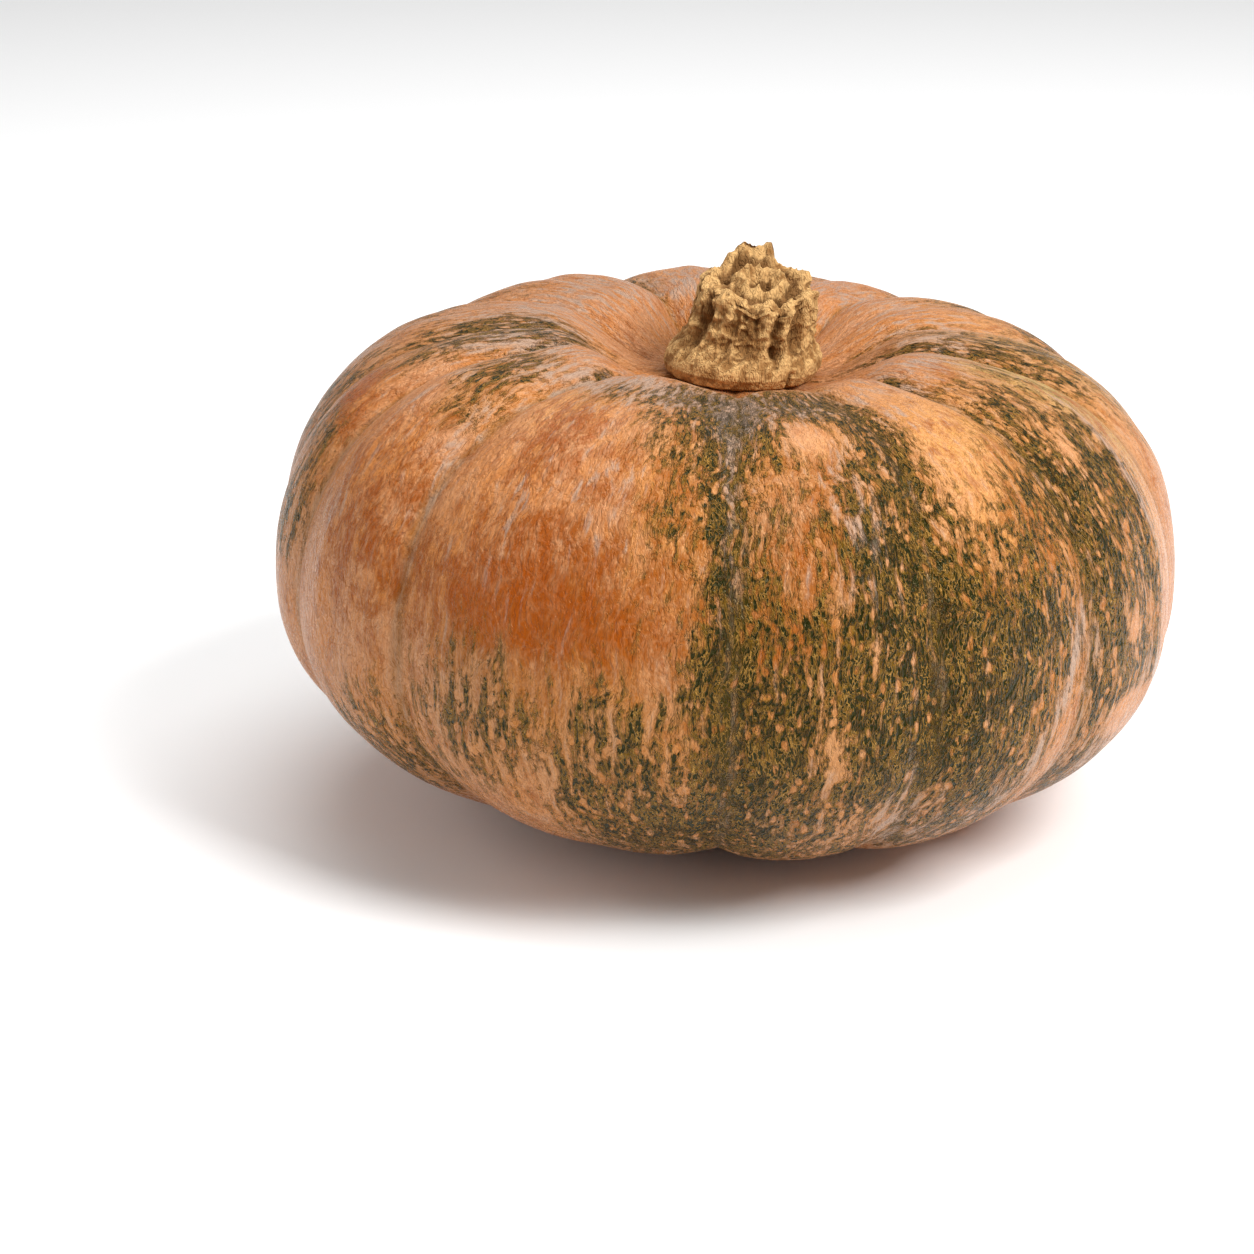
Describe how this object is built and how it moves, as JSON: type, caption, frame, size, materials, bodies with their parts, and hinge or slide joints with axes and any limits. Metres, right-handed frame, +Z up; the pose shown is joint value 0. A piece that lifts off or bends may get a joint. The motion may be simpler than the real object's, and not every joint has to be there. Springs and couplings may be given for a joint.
{
  "type": "pumpkin",
  "caption": "Whole ribbed squash with a waxy, mottled rind and a dry, corky broken stem; stands on its blossom end.",
  "frame": {"origin": "middle of the underside of the part's box, on the surface it stands on", "axes": "+Z up, which is the short way through the fruit; -Y is the front, which the stem's broken end faces"},
  "size_m": [0.2492, 0.248, 0.1559],
  "materials": {
    "rind": "satin",
    "cork": "matte"
  },
  "bodies": {
    "root": {"fruit": "rind", "stem": "cork"}
  },
  "joints": []
}
